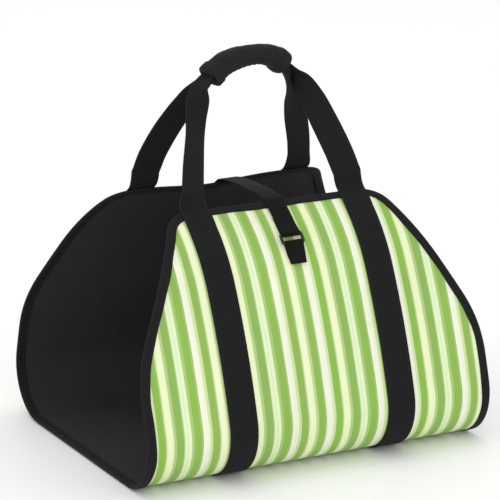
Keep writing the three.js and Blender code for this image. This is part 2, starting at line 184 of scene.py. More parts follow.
# Cloth settings of the air that fills the grip, with caps on how far a point moves, in mm
PUFF = {
    "quality": 6,
    "mass": 0.002,
    "tension_stiffness": 3.0,
    "compression_stiffness": 3.0,
    "shear_stiffness": 1.0,
    "bending_stiffness": 0.3,
    "shrink_min": -0.006,
    "use_pressure": True,
    "uniform_pressure_force": 4.0,
}
PUFF_CAP = {"in": 0.6, "out": 1.1}
PUFF_FRAMES = 20

# Narrow strap, its ring and the tab below it
STRAP_WIDTH = 25.0
STRAP_THICK = 1.5
STRAP_LOW = GAP + STRAP_THICK / 2
STRAP_HIGH = STRAP_LOW + GAP + STRAP_THICK
STRAP_BACK_END = -455.0
STRAP_CLIMB = -472.0
STRAP_FLAT_FROM = 467.0
STRAP_TURNED_END = 478.0
BRIDGE_REACH = 14.0
TAB_END = 415.0
TAB_TUCK = 1.0
TAB_FLAT_TO = 427.0
TAB_END_WIDTH = 20.5
BAR_TURN = {"radius": 3.05, "width": 23.4, "lead": 65.0}
RING = {"s": 446.5, "level": 4.1, "width": 31.0, "span": 12.8, "thick": 2.6, "corner": 3.4}
RING_BAR = 2.75
RING_SIDE = 3.5
RING_POWER = 0.65

# Rows of stitches, in mm: how far they lie inside an edge and proud of it, and their spans on the sheet
STITCH_INSET = 3.2
STITCH_PROUD = 0.08
WEBBING_ROWS = (142.0, 436.0)
WEBBING_BOX = (440.0, 471.0)
LINING_ROWS = (4.0, 471.0)
STRAP_BOX = {"span": (-457.5, -470.0), "middle": -464.0, "half_width": 9.6}
TAB_BOX = {"span": (417.2, 426.5), "middle": 422.0, "half_width": 7.6}
BINDING_STITCH = {"inward": 7.6, "proud": 0.2}
HEM_STITCH = {"inward": 9.6, "proud": 1.75}
STITCH_UNEVENNESS = 0.08

# Stripes of the canvas: one row per pale and green pair, and the pairs repeat. Each pair has a thin line
# in its pale stripe and a rim beside its green one. Spans are in mm from the pair's start.
STRIPE_PITCH = 23.4
STRIPE_START = -42.0
STRIPE_COLUMNS = ("pale", "mid", "green", "line", "rim")
STRIPES = [
    dict(zip(STRIPE_COLUMNS, row))
    for row in (
        ((240, 244, 215), (206, 227, 162), (145, 184, 84), (246, 247, 231), (178, 198, 130)),
        ((238, 247, 201), (190, 215, 142), (142, 186, 82), (246, 250, 221), (160, 186, 108)),
        ((240, 244, 220), (211, 230, 174), (140, 188, 75), (246, 248, 234), (188, 206, 144)),
        ((235, 247, 196), (178, 207, 132), (141, 183, 88), (244, 249, 209), (158, 184, 106)),
        ((230, 245, 200), (168, 203, 118), (142, 186, 78), (212, 237, 184), (176, 200, 132)),
    )
]
STRIPE_SPANS = {"pale": (0.0, 8.2), "mid": (8.7, 11.9), "green": (12.5, 20.8)}
LINE_SPANS = {"line": (2.2, 3.9), "rim": (20.9, 22.4)}
LINE_STRENGTH = 0.7

# Strength of the materials' fine relief
CLOTH_RELIEF = 0.6
PLASTIC_RELIEF = 0.4

# Studio: the floor's tone, the light all round, and soft lights with their places in metres
FLOOR_TONE = (0.97, 0.97, 0.97, 1.0)
FLOOR_REACH = 9.0
WORLD_STRENGTH = 0.94
LIGHTS = (
    {"name": "overhead", "place": (0.0, 0.8, 6.0), "size": 5.0, "power": 44.0},
    {"name": "key", "place": (-1.4, -2.9, 1.2), "size": 1.6, "power": 18.0},
)
LIGHT_AIM = Vector((0.0, 0.0, 0.2))

# Camera, in metres
AZIMUTH = math.radians(-27.67)
ELEVATION = math.radians(16.91)
CAMERA_DISTANCE = 3.753
CAMERA_PIVOT = Vector((0.0, 0.0, 0.15))
CAMERA_AIM = Vector((0.0013, 0.0007, 0.2262))
LENS = 219.9


def bent(distance):
    """Distance out, height and heading of the bent half sheet, at distances from its floor's middle."""
    out = np.zeros_like(distance)
    height = np.full_like(distance, FLOOR_Z)
    heading = np.zeros_like(distance)
    left = distance.copy()
    for length, turn in BENDS:
        run = np.clip(left, 0.0, length)
        if turn == 0.0:
            out += run
        else:
            radius = length / math.radians(turn)
            end = heading + run / radius
            out += radius * (np.sin(end) - np.sin(heading))
            height += radius * (np.cos(heading) - np.cos(end))
            heading = end
        left = left - run
    return out + left * np.cos(heading), height + left * np.sin(heading), heading


def ease(low, high, value):
    """Smooth rise from 0 at low to 1 at high."""
    share = np.clip((value - low) / (high - low), 0.0, 1.0)
    return share * share * (3.0 - 2.0 * share)


def drape(s, x):
    """How far the cloth stands out from its even bend, in mm. The floor stays flat."""
    height = 0.0
    for row in WAVES:
        height = height + row["height"] * np.sin(x / row["across"] + s / row["along"] + row["phase"])
    height = height * (1.0 - SIDE_CALM["share"] * (1.0 - np.exp(-((x / SIDE_CALM["reach"]) ** 4))))
    height = height * (1.0 - TOP_CALM["share"] * ease(*TOP_CALM["span"], np.abs(s)))
    for row in SLACK:
        across = np.exp(-(((x - row["x"]) / row["reach"]) ** 2))
        height = height - row["depth"] * ease(*row["span"], row["wall"] * s) * across
    return ease(*WAVE_START, np.abs(s)) * height


def skew(s):
    """Shift along X of the back wall."""
    rise = (-s - BACK_SKEW["from"]) / (HALF_LENGTH - BACK_SKEW["from"])
    return np.clip(rise, 0.0, BACK_SKEW["most"]) * BACK_SKEW["shift"]


def on_sheet(s, x, level):
    """Points of the bent sheet: s along it (front positive), x across it, level out from its face."""
    s, x, level = np.broadcast_arrays(*(np.asarray(value, float) for value in (s, x, level)))
    out, height, heading = bent(np.abs(s))
    level = level + drape(s, x)
    y = -np.where(s < 0.0, -1.0, 1.0) * (out + level * np.sin(heading))
    return np.stack([x + skew(s), y, height - level * np.cos(heading)], axis=-1)


def half_width_at(s):
    """Half width of the flat cut: a straight run, a round shoulder, a slant and a round corner."""
    distance = np.abs(s)
    shoulder_start = TAPER_START - SHOULDER_RADIUS * math.tan(TAPER / 2)
    shoulder_end = shoulder_start + SHOULDER_RADIUS * math.sin(TAPER)
    corner = HALF_LENGTH - TOP_CORNER_RADIUS
    slant = HALF_WIDTH - (distance - TAPER_START) * math.tan(TAPER)
    rounded = np.clip(distance - shoulder_start, 0.0, SHOULDER_RADIUS)
    shoulder = HALF_WIDTH - SHOULDER_RADIUS + np.sqrt(SHOULDER_RADIUS**2 - rounded**2)
    centre = HALF_WIDTH - (corner - TAPER_START) * math.tan(TAPER) - TOP_CORNER_RADIUS / math.cos(TAPER)
    turned = np.clip(distance - corner, 0.0, TOP_CORNER_RADIUS)
    top = centre + np.sqrt(TOP_CORNER_RADIUS**2 - turned**2)
    corner_start = corner + TOP_CORNER_RADIUS * math.sin(TAPER)
    starts = [distance <= start for start in (shoulder_start, shoulder_end, corner_start)]
    return np.select(starts, [HALF_WIDTH, shoulder, slant], top)


def unit(vector):
    """A vector, or each of several, with a length of 1."""
    return vector / np.linalg.norm(vector, axis=-1, keepdims=True)


def oval(turn, power):
    """Points of an oval at angles round it: a circle at power 1, and squarer below that."""
    bow = np.stack([np.cos(turn), np.sin(turn)], axis=-1)
    return np.sign(bow) * np.abs(bow) ** power


def lengths_along(points):
    """Distance of each point of a row from its first, along the row."""
    return np.concatenate([[0.0], np.cumsum(np.linalg.norm(np.diff(points, axis=0), axis=1))])


def laid_flat(across, along):
    """Places on the flat material, at distances across it and along it."""
    across, along = np.broadcast_arrays(across, along)
    return np.stack([across, along, np.zeros(across.shape)], axis=-1)


def placed(name, data):
    """A new object in the scene."""
    thing = bpy.data.objects.new(name, data)
    bpy.context.scene.collection.objects.link(thing)
    return thing


def body(name, rings, flat, material, slot, node, looped=False):
    """A closed mesh through rings of points in mm. flat is each point's place on the flat material."""
    rings = np.asarray(rings, float)
    count, size = rings.shape[:2]
    grid = np.arange(count * size).reshape(count, size)
    here, there = (grid, np.roll(grid, -1, axis=0)) if looped else (grid[:-1], grid[1:])
    quads = np.stack([here, np.roll(here, -1, axis=1), np.roll(there, -1, axis=1), there], axis=-1)
    quads = quads.reshape(-1, 4)
    points = rings.reshape(-1, 3)
    a, b, c, d = (points[quads[:, i]] for i in range(4))
    volume = np.sum(a * (np.cross(b, c) + np.cross(c, d)))
    faces = quads.tolist()
    if not looped:
        faces += [grid[0, ::-1].tolist(), grid[-1].tolist()]
    if volume < 0.0:
        faces = [face[::-1] for face in faces]
    mesh = bpy.data.meshes.new(name)
    mesh.from_pydata((points * MM).tolist(), [], faces)
    mesh.shade_smooth()
    place = mesh.attributes.new("flat", "FLOAT_VECTOR", "POINT")
    place.data.foreach_set("vector", np.asarray(flat, np.float32).reshape(-1))
    mesh.materials.append(material)
    return dressed(placed(name, mesh), slot, node)


def dressed(piece, slot, *nodes):
    """Fixes a piece to the object and hides the solids that it stands for. slot is not used."""
    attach(piece, "root")
    if nodes:
        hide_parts(*nodes)
    return piece


def flat_section(width, thick, face_steps):
    """Section of a flat strap with round selvedges: (across, out) pairs in mm."""
    radius = thick / 2
    across = np.linspace(-width / 2 + radius, width / 2 - radius, face_steps)
    turn = np.linspace(-math.pi / 2, math.pi / 2, 5)[1:-1]
    right = np.stack([width / 2 - radius + radius * np.cos(turn), radius * np.sin(turn)], axis=-1)
    low = np.stack([across, np.full_like(across, -radius)], axis=-1)
    half = np.concatenate([low, right])
    return np.concatenate([half, -half])


# Shader helpers


def add(tree, kind, inputs=None, **settings):
    """A node with its settings, and with each input either linked or set."""
    node = tree.nodes.new(kind)
    for name, value in settings.items():
        setattr(node, name, value)
    for name, value in (inputs or {}).items():
        if isinstance(value, bpy.types.NodeSocket):
            tree.links.new(value, node.inputs[name])
        else:
            node.inputs[name].default_value = value
    return node


def joined(kind, inputs, **settings):
    """A node in the tree of the sockets that it is linked to."""
    tree = next(value.id_data for value in inputs.values() if isinstance(value, bpy.types.NodeSocket))
    return add(tree, kind, inputs, **settings)


def calc(operation, *values):
    """The result of a math node."""
    return joined("ShaderNodeMath", dict(enumerate(values)), operation=operation).outputs[0]


def mapped(value, low, high):
    """A value from 0 to 1 brought to a range."""
    inputs = {"Value": value, "To Min": low, "To Max": high}
    return joined("ShaderNodeMapRange", inputs).outputs["Result"]


def noise(vector, scale, detail=2.0):
    """Noise from 0 to 1."""
    inputs = {"Vector": vector, "Scale": scale, "Detail": detail}
    return joined("ShaderNodeTexNoise", inputs).outputs["Fac"]


def stretched(vector, by):
    """A place scaled along each axis."""
    inputs = {0: vector, 1: by}
    return joined("ShaderNodeVectorMath", inputs, operation="MULTIPLY").outputs[0]


def sine(value, period):
    """A sine of a value, from -1 to 1."""
    return calc("SINE", calc("MULTIPLY", value, 2.0 * math.pi / period))


def wave(value, period):
    """A sine of a value, from 0 to 1."""
    return calc("MULTIPLY_ADD", sine(value, period), 0.5, 0.5)


def tinted(color, *parts):
    """A colour made lighter or darker by a sum of parts: each a value from 0 to 1 and its range."""
    factor = mapped(*parts[0])
    for part in parts[1:]:
        factor = calc("ADD", factor, mapped(*part))
    return joined("ShaderNodeHueSaturation", {"Color": color, "Value": factor}).outputs["Color"]


def new_material(name, sheen, gloss):
    """A material, its node tree and its shader's inputs."""
    material = bpy.data.materials.new(name)
    material.use_nodes = True
    shader = material.node_tree.nodes["Principled BSDF"].inputs
    shader["Sheen Weight"].default_value = sheen
    shader["Specular IOR Level"].default_value = gloss
    return material, material.node_tree, shader


def surface(name, sheen, gloss, recipe, *values):
    """A material by a recipe, which gives its colour, the value and range of its roughness, and the
    height, depth in mm and strength of its relief."""
    material, tree, shader = new_material(name, sheen, gloss)
    flat = add(tree, "ShaderNodeAttribute", attribute_name="flat").outputs["Vector"]
    place = add(tree, "ShaderNodeTexCoord").outputs["Object"]
    color, roughness, height, depth, strength = recipe(flat, place, *values)
    relief = {"Height": height, "Strength": strength, "Distance": depth * MM}
    tree.links.new(color, shader["Base Color"])
    tree.links.new(mapped(*roughness), shader["Roughness"])
    tree.links.new(add(tree, "ShaderNodeBump", relief).outputs["Normal"], shader["Normal"])
    return material


def linear(rgb):
    """A colour given in 0 to 255 as linear light with full alpha."""
    share = [value / 255.0 for value in rgb]
    return (*(v / 12.92 if v <= 0.04045 else ((v + 0.055) / 1.055) ** 2.4 for v in share), 1.0)


def xyz(vector):
    """The parts of a vector."""
    return joined("ShaderNodeSeparateXYZ", {0: vector}).outputs


def ramp(value, marks, interpolation):
    """The outputs of a colour ramp with marks of (place, colour)."""
    node = joined("ShaderNodeValToRGB", {"Fac": value})
    node.color_ramp.interpolation = interpolation
    elements = node.color_ramp.elements
    for i, (at, color) in enumerate(marks):
        mark = elements[i] if i < 2 else elements.new(at)
        mark.position = at
        mark.color = color
    return node.outputs


def plain_weave(flat, yarn):
    """Height of a plain weave, from 0 to 1, of yarns with a width in mm."""
    warp, weft = (sine(xyz(flat)[axis], 2.0 * yarn) for axis in "XY")
    return calc("MULTIPLY_ADD", calc("MULTIPLY", warp, weft), 0.5, 0.5)


def stripes(x):
    """Colour of the stripes at a distance across the canvas, counted from well beside it."""
    repeat = STRIPE_PITCH * len(STRIPES)
    beside = STRIPE_START - 4 * repeat
    turn = calc("FRACT", calc("DIVIDE", calc("SUBTRACT", x, beside), repeat))
    bands, lines = [], []
    for i, row in enumerate(STRIPES):
        start = i * STRIPE_PITCH
        for part, span in STRIPE_SPANS.items():
            bands += [((start + at) / repeat, linear(row[part])) for at in span]
        for part, (low, high) in LINE_SPANS.items():
            color = linear(row[part])
            lines += [((start + low) / repeat, color), ((start + high) / repeat, (*color[:3], 0.0))]
    band = ramp(turn, bands, "LINEAR")
    line = ramp(turn, lines, "CONSTANT")
    share = calc("MULTIPLY", line["Alpha"], LINE_STRENGTH)
    # A mix node has its colours at sockets 6 and 7 and at output 2
    inputs = {0: share, 6: band["Color"], 7: line["Color"]}
    return joined("ShaderNodeMix", inputs, data_type="RGBA").outputs[2]


def striped_canvas(flat, place):
    """Yarn-dyed canvas: stripes across X, plain weave, slubs along the yarns."""
    wander = mapped(noise(stretched(flat, (1.2, 0.02, 0.0)), 1.0), -0.6, 0.6)
    dyed = stripes(calc("ADD", xyz(flat)["X"], wander))
    weave = plain_weave(flat, 0.9)
    slub = noise(stretched(flat, (1.6, 0.05, 0.0)), 1.0, 3.0)
    cross = noise(stretched(flat, (0.05, 1.4, 0.0)), 1.0, 3.0)
    cloud = noise(place, 9.0)
    # The weave's part of the tint is painted shade from the weave's relief: darker in the gaps between
    # the yarns, lighter on their tops. The slubs, cross yarns and cloud are the cloth's own uneven tone.
    tints = (slub, -0.1, 0.1), (cross, -0.05, 0.05), (cloud, 0.85, 0.97), (weave, -0.05, 0.03)
    color = tinted(dyed, *tints)
    ripple = noise(place, 16.0)
    height = calc("MULTIPLY_ADD", ripple, 4.0, calc("MULTIPLY_ADD", slub, 0.5, weave))
    return color, (slub, 0.78, 0.95), height, 0.12, CLOTH_RELIEF


def black_weave(flat, place, rgb, yarn, depth, wrinkled, cloudy):
    """Black plain-woven cloth with lighter rubbed patches and, where it is wrinkled, soft wrinkles."""
    weave = plain_weave(flat, yarn)
    patch = noise(place, 14.0, 3.0)
    slub = noise(stretched(flat, (0.9, 0.06, 0.0)), 1.0)
    # The weave's part of the tint is painted shade from the weave's relief, darker in the gaps between
    # the yarns. The patches and slubs are the cloth's own uneven tone.
    tints = (patch, 1.0 - cloudy, 1.0 + cloudy), (slub, -0.12, 0.12), (weave, -0.15, 0.1)
    color = tinted(linear(rgb), *tints)
    wrinkles = noise(stretched(place, (1.0, 1.0, 0.55)), 26.0, 3.0)
    height = calc("MULTIPLY_ADD", wrinkles, wrinkled, weave)
    return color, (patch, 0.72, 0.92), height, depth, CLOTH_RELIEF


def black_webbing(flat, place, rgb, half_width):
    """Black webbing: herringbone ribs in columns, and selvedges that are rubbed lighter."""
    column, rib = 4.6, 1.9
    across, along = xyz(flat)["X"], xyz(flat)["Y"]
    zigzag = calc("PINGPONG", across, column)
    ribs = wave(calc("ADD", along, zigzag), rib)
    seam = calc("POWER", wave(across, column), 0.35)
    height = calc("MULTIPLY", ribs, seam)
    patch = noise(place, 18.0, 3.0)
    edge = mapped(calc("DIVIDE", calc("ABSOLUTE", across), half_width), 0.0, 1.0)
    rubbed = calc("MULTIPLY", calc("POWER", edge, 14.0), mapped(patch, 0.1, 0.7))
    # The height's part of the tint is painted shade from the relief: darker in the grooves between the
    # ribs and the seams between the columns. The patches and the rubbed selvedges are the webbing's own
    # tone and wear.
    tints = (patch, 0.88, 1.12), (height, -0.22, 0.14), (rubbed, 0.0, 1.0)
    color = tinted(linear(rgb), *tints)
    return color, (patch, 0.62, 0.85), height, 0.22, CLOTH_RELIEF


def binding_tape(flat, place, rgb):
    """Black ribbed tape, rubbed lighter along its fold."""
    inward, along = xyz(flat)["X"], xyz(flat)["Y"]
    ribs = wave(along, 1.15)
    patch = noise(place, 22.0, 3.0)
    fold = calc("POWER", mapped(calc("ABSOLUTE", inward), 1.0, 0.75), 6.0)
    rubbed = calc("MULTIPLY", fold, mapped(patch, 0.0, 0.35))
    # The ribs' part of the tint is painted shade from the relief, darker in the grooves between the ribs.
    # The patches and the rubbed fold are the tape's own tone and wear.
    tints = (patch, 0.88, 1.12), (ribs, -0.2, 0.12), (rubbed, 0.0, 1.0)
    color = tinted(linear(rgb), *tints)
    return color, (patch, 0.62, 0.85), ribs, 0.14, CLOTH_RELIEF


def thread(_, place, rgb):
    """Twisted sewing thread."""
    twist = noise(place, 900.0)
    # The twist noise is both the relief and the tint: it gives the thread an uneven tone and also paints
    # shade into the low parts of its relief.
    color = tinted(linear(rgb), (twist, 0.75, 1.3))
    return color, (twist, 0.5, 0.75), twist, 0.08, CLOTH_RELIEF


def ring_plastic(_, place, rgb):
    """Black moulded plastic with a fine grain and rubbed spots."""
    grain = noise(place, 1400.0)
    rubbed = noise(place, 120.0, 3.0)
    color = tinted(linear(rgb), (rubbed, 0.8, 1.3))
    return color, (rubbed, 0.3, 0.5), grain, 0.05, PLASTIC_RELIEF


canvas_look = surface("striped_canvas", 0.05, 0.5, striped_canvas)
lining_look = surface("lining_cloth", 0.02, 0.1, black_weave, (46, 46, 47), 0.8, 0.1, 9.0, 0.15)
grip_look = surface("grip_cloth", 0.02, 0.1, black_weave, (34, 34, 35), 0.9, 0.14, 3.0, 0.1)
webbing_look = surface("webbing", 0.02, 0.08, black_webbing, (29, 29, 30), WEBBING_WIDTH / 2)
narrow_look = surface("narrow_webbing", 0.02, 0.08, black_webbing, (20, 20, 21), STRAP_WIDTH / 2)
binding_look = surface("binding_tape", 0.02, 0.1, binding_tape, (27, 27, 28))
thread_look = surface("black_thread", 0.03, 0.18, thread, (36, 36, 37))
plastic_look = surface("ring_plastic", 0.0, 0.45, ring_plastic, (20, 20, 21))


# The sheet and its binding


def sheet_layer(name, levels, steps, look, slot, node):
    """One layer of the sheet with its own thickness. steps are its grid's counts along and across."""
    s = np.linspace(-HALF_LENGTH, HALF_LENGTH, steps[0])[:, None]
    x = half_width_at(s) * np.linspace(-1.0, 1.0, steps[1])
    faces = [on_sheet(s, x, level) for level in levels]
    rings = np.concatenate([faces[0], faces[1][:, ::-1]], axis=1)
    flat = laid_flat(x, s)
    flat = np.concatenate([flat, flat[:, ::-1]], axis=1)
    return body(name, rings, flat, look, slot, node)


def outline():
    """The flat cut's outline as even steps of (s, x), and the direction inwards at each."""
    s = np.linspace(0.0, HALF_LENGTH, 900)
    up = np.stack([s, half_width_at(s)], axis=-1)
    over, down, home = up[::-1] * (1, -1), up * (-1, -1), up[::-1] * (-1, 1)
    corners = np.concatenate([up, over, down[1:], home])
    lengths = lengths_along(corners)
    at = np.linspace(0.0, lengths[-1], round(lengths[-1] / EDGE_STEP) + 1)[:-1]
    points = np.stack([np.interp(at, lengths, column) for column in corners.T], axis=-1)
    run = unit(np.roll(points, -1, axis=0) - np.roll(points, 1, axis=0))
    return points, np.stack([run[:, 1], -run[:, 0]], axis=-1)


def off_edge(inward, level):
    """Points a distance inwards from the sheet's edge, all the way round it."""
    at = EDGE + INWARDS * np.asarray(inward)[..., None]
    return on_sheet(at[..., 0], at[..., 1], level)


EDGE, INWARDS = outline()


def binding_section():
    """Outer and inner sides of the folded tape's section, as (inward, level) pairs in mm."""
    top, low = BINDING_OUTER[1], BINDING_INNER[0]
    back, down = BINDING_BEVEL
    face = (BINDING_COVER - back, *BINDING_FACE)
    outside = [(BINDING_COVER, top - down)] + [(inward, top) for inward in face]
    for turn in np.linspace(0.0, math.pi, 9)[1:-1]:
        inward = BINDING_FOLD - (BINDING_REACH + BINDING_FOLD) * math.sin(turn)
        outside.append((inward, (top + low) / 2 + (top - low) / 2 * math.cos(turn)))
    outside += [(inward, low) for inward in face[::-1]] + [(BINDING_COVER, low + down)]
    inside = [(BINDING_COVER, BINDING_INNER[1]), (-GAP, BINDING_INNER[1])]
    return outside, inside + [(-GAP, BINDING_OUTER[0]), (BINDING_COVER, BINDING_OUTER[0])]


def rippled(waves, at):
    """Height of several waves at distances along them."""
    return sum(height * np.sin(at / length + phase) for height, length, phase in waves)


def edge_binding():
    """Tape folded over the edge, with a round fold, slightly uneven inner edges and small puckers."""
    run = np.arange(len(EDGE)) * EDGE_STEP
    uneven = rippled(BINDING_UNEVEN["waves"], run)
    pucker = np.abs(rippled(BINDING_PUCKER["waves"], run))
    outside, inside = binding_section()
    middle = (BINDING_OUTER[1] + BINDING_INNER[0]) / 2
    columns, flats = [], []
    for i, (inward, level) in enumerate(outside + inside):
        across = inward + uneven * ease(*BINDING_UNEVEN["span"], inward)
        if 0 < i < len(outside) - 1:
            proud = pucker * ease(*BINDING_PUCKER["span"], inward)
            level = level + math.copysign(1.0, level - middle) * proud
        columns.append(off_edge(across, level))
        flats.append(laid_flat(across, run))
    rings, flat = np.stack(columns, axis=1), np.stack(flats, axis=1)
    return body("binding_tape", rings, flat, binding_look, "binding_tape", "edge_binding", looped=True)


canvas = sheet_layer("striped_sheet", CANVAS, (260, 128), canvas_look, "striped_canvas", "outer_panel")
lining = sheet_layer("lining_sheet", LINING, (180, 84), lining_look, "lining_cloth", "lining")
binding = edge_binding()


# The webbing loops


def yawed(vector, share):
    """A vector turned about the vertical by a share of the handle's yaw."""
    turn = HANDLE_YAW * share
    x, y, z = vector
    return np.array([x * math.cos(turn) - y * math.sin(turn), x * math.sin(turn) + y * math.cos(turn), z])


def arch_point(at, y, out):
    """A point of the handle's arch: a distance along it from its crown, y across it and out from it."""
    radius = ARCH["left_radius"] if at < 0.0 else ARCH["right_radius"]
    reach, turn = radius + out, at / radius
    z = ARCH["crown_z"] - radius + reach * math.cos(turn)
    return yawed((reach * math.sin(turn), y, z), 1.0) + (ARCH["x"], LEAN["y"], 0.0)


def through(knots, steps, smooth):
    """A curve through knots. smooth 0.5 makes it follow bends closely, and 0 spaces the knots evenly."""
    knots = np.asarray(knots, float)
    padded = np.concatenate([[2 * knots[0] - knots[1]], knots, [2 * knots[-1] - knots[-2]]])
    run = []
    for p0, p1, p2, p3 in zip(padded, padded[1:], padded[2:], padded[3:]):
        gaps = (p1 - p0, p2 - p1, p3 - p2)
        d0, d1, d2 = (max(np.linalg.norm(gap), 1e-6) ** smooth for gap in gaps)
        m1 = d1 * ((p1 - p0) / d0 - (p2 - p0) / (d0 + d1) + (p2 - p1) / d1)
        m2 = d1 * ((p2 - p1) / d1 - (p3 - p1) / (d1 + d2) + (p3 - p2) / d2)
        t = (np.arange(steps) / steps)[:, None]
        a, b = 2 * t**3 - 3 * t**2 + 1, t**3 - 2 * t**2 + t
        run.append(a * p1 + b * m1 + (3 * t**2 - 2 * t**3) * p2 + (t**3 - t**2) * m2)
    return np.concatenate(run + [knots[-1:]])


def pulled(knots, steps):
    """Inner points of a curve from the first knot to the last, pulled by those between."""
    t = np.linspace(0.0, 1.0, steps)[1:-1, None]
    while len(knots) > 1:
        knots = [(1 - t) * a + t * b for a, b in zip(knots, knots[1:])]
    return knots[0]


def webbing_level(s):
    """Middle of the webbing's thickness above the canvas, with its climb over the binding."""
    return GAP + WEBBING_THICK / 2 + ease(*BUMP, np.abs(s)) * BINDING_OUTER[1]


def across_at(front, side, twist, turn):
    """Direction across the webbing, for a twist towards the grip and a turn of its fold, in degrees."""
    leg = LEGS[front, side]
    angle = math.radians(front * leg["ease"] * twist + leg["sense"] * turn)
    return leg["sense"] * np.array([side * math.cos(angle), -math.sin(angle), 0.0])


def sewn_run(front, side):
    """Centre, across and out of the webbing sewn to a wall, from the floor's middle upwards."""
    s = np.linspace(GAP / 2, LEAVE, 130)
    centre = on_sheet(front * s, side * WEBBING_X, webbing_level(s))
    out = unit(on_sheet(front * s, side * WEBBING_X, webbing_level(s) + 1.0) - centre)
    across = np.tile(across_at(front, side, 0.0, 0.0) * WEBBING_WIDTH, (len(s), 1))
    return centre, across, -LEGS[front, side]["sense"] * out


def leg_knots(front, side):
    """Points of a free leg, from its foot to the grip, and the webbing's across at each."""
    foot = on_sheet(front * LEAVE, 0.0, 0.0)
    knots = []
    for row in LEG_SECTIONS:
        reach = side * (row["x"] + front * row["spread"] * LOOP_SPREAD)
        reach += LEGS[front, side]["aside"] * (1.0 - row["follow"])
        point = yawed((reach, -front * row["y"], row["z"]), row["follow"])
        share = np.clip((row["z"] - foot[2]) / (LEAN["full_z"] - foot[2]), 0.0, 1.0)
        aside = foot[0] + (LEAN["x"] - foot[0]) * share
        across = yawed(across_at(front, side, row["twist"], row["turn"]), 1.0) * row["width"]
        knots.append((point + (aside, LEAN["y"] * share, 0.0), across))
    return knots


def turn_up(front, side, start, point, turned):
    """Curve and across of the webbing between the wall's edge and the foot of its leg."""
    control = on_sheet(front * LIFT, side * WEBBING_X, webbing_level(LEAVE))
    flat = across_at(front, side, 0.0, 0.0) * WEBBING_WIDTH
    return pulled([start, control, point], 14), pulled([flat, flat, turned], 14)


def webbing_path(front):
    """Centre line of one loop, with its across, as long as the strap is wide there, and its out.
    front is 1 for the front wall's loop and -1 for the back wall's."""
    left, right = sewn_run(front, -1.0), sewn_run(front, 1.0)
    folded = yawed(across_at(front, -1.0, 0.0, 90.0), 1.0) * FOLDED_WIDTH
    arch = [(arch_point(at, 0.0, front * LOOP_SPREAD), folded) for at in ARCH_KNOTS]
    knots = leg_knots(front, -1.0) + arch + leg_knots(front, 1.0)[::-1]
    run = through([point for point, _ in knots], 10, 0.5)
    turned = through([across for _, across in knots], 10, 0.0)
    rise, rise_across = turn_up(front, -1.0, left[0][-1], run[0], turned[0])
    fall, fall_across = turn_up(front, 1.0, right[0][-1], run[-1], turned[-1])
    free = np.concatenate([rise, run, fall[::-1]])
    turned = np.concatenate([rise_across, turned, fall_across[::-1]])
    along = unit(np.gradient(free, axis=0))
    width = np.linalg.norm(turned, axis=1, keepdims=True)
    square = unit(turned - np.sum(turned * along, axis=1, keepdims=True) * along)
    centre = np.concatenate([left[0], free, right[0][::-1]])
    across = np.concatenate([left[1], square * width, right[1][::-1]])
    out = np.concatenate([left[2], np.cross(square, along) * front, right[2][::-1]])
    return centre, across, out


def webbing_loop(name, front, node):
    """One loop of webbing: sewn up the wall, free up to the grip, folded through it and down again."""
    centre, across, out = webbing_path(front)
    section = flat_section(WEBBING_WIDTH, WEBBING_THICK, 10)
    share = section[:, :1] / WEBBING_WIDTH
    width = np.linalg.norm(across, axis=1)[:, None, None]
    folded = 1.0 - width / WEBBING_WIDTH
    curl = front * FOLD_CURL * folded * ((2.0 * share) ** 2 - 0.4)
    rings = centre[:, None] + across[:, None] * share + out[:, None] * (section[:, 1:] + curl)
    flat = laid_flat(section[:, 0], lengths_along(centre)[:, None])
    return body(name, rings, flat, webbing_look, "webbing", node)


front_loop = webbing_loop("webbing_loop_front", 1.0, "webbing_front")
back_loop = webbing_loop("webbing_loop_back", -1.0, "webbing_back")


# The padded grip


def grip_ring(at, half_width, under, top, power, sides=72):
    """Oval ring of the grip, at a distance along the arch from the grip's middle, starting underneath."""
    bow = oval(2.0 * np.pi * (np.arange(sides) + 0.5) / sides - np.pi / 2, power)
    bow *= np.stack([np.full(sides, half_width), np.where(bow[:, 1] > 0.0, top, under)], axis=-1)
    return np.array([arch_point(at + GRIP["slide"], y, out) for y, out in bow])


PADDING = through(GRIP_PADDING, 12, 0.0)


def padded_ring(at, swell):
    """Ring of the padded cloth, a distance out from its padding."""
    top, under, side = (np.interp(at, PADDING[:, 0], column) for column in PADDING.T[1:])
    height = GRIP["half_height"] + swell
    return grip_ring(at, GRIP["half_width"] + swell + side, height + under, height + top, GRIP["power"])


def grip_rows():
    """Distances along the grip from its middle, and how far each ring stands out from the plain oval."""
    half = GRIP["length"] / 2
    left = [(reach - half, swell) for reach, swell in HEM_SECTION]
    inner = half - GRIP_HEM - HEM_TO_CLOTH
    cloth = [(at, CLOTH_SWELL) for at in np.linspace(-inner, inner, 48)]
    return left + cloth + [(-at, swell) for at, swell in left[::-1]]


def points_of(mesh):
    return np.array([vertex.co for vertex in mesh.vertices])


def set_points(mesh, points):
    mesh.vertices.foreach_set("co", points.astype(np.float32).ravel())
    mesh.update()


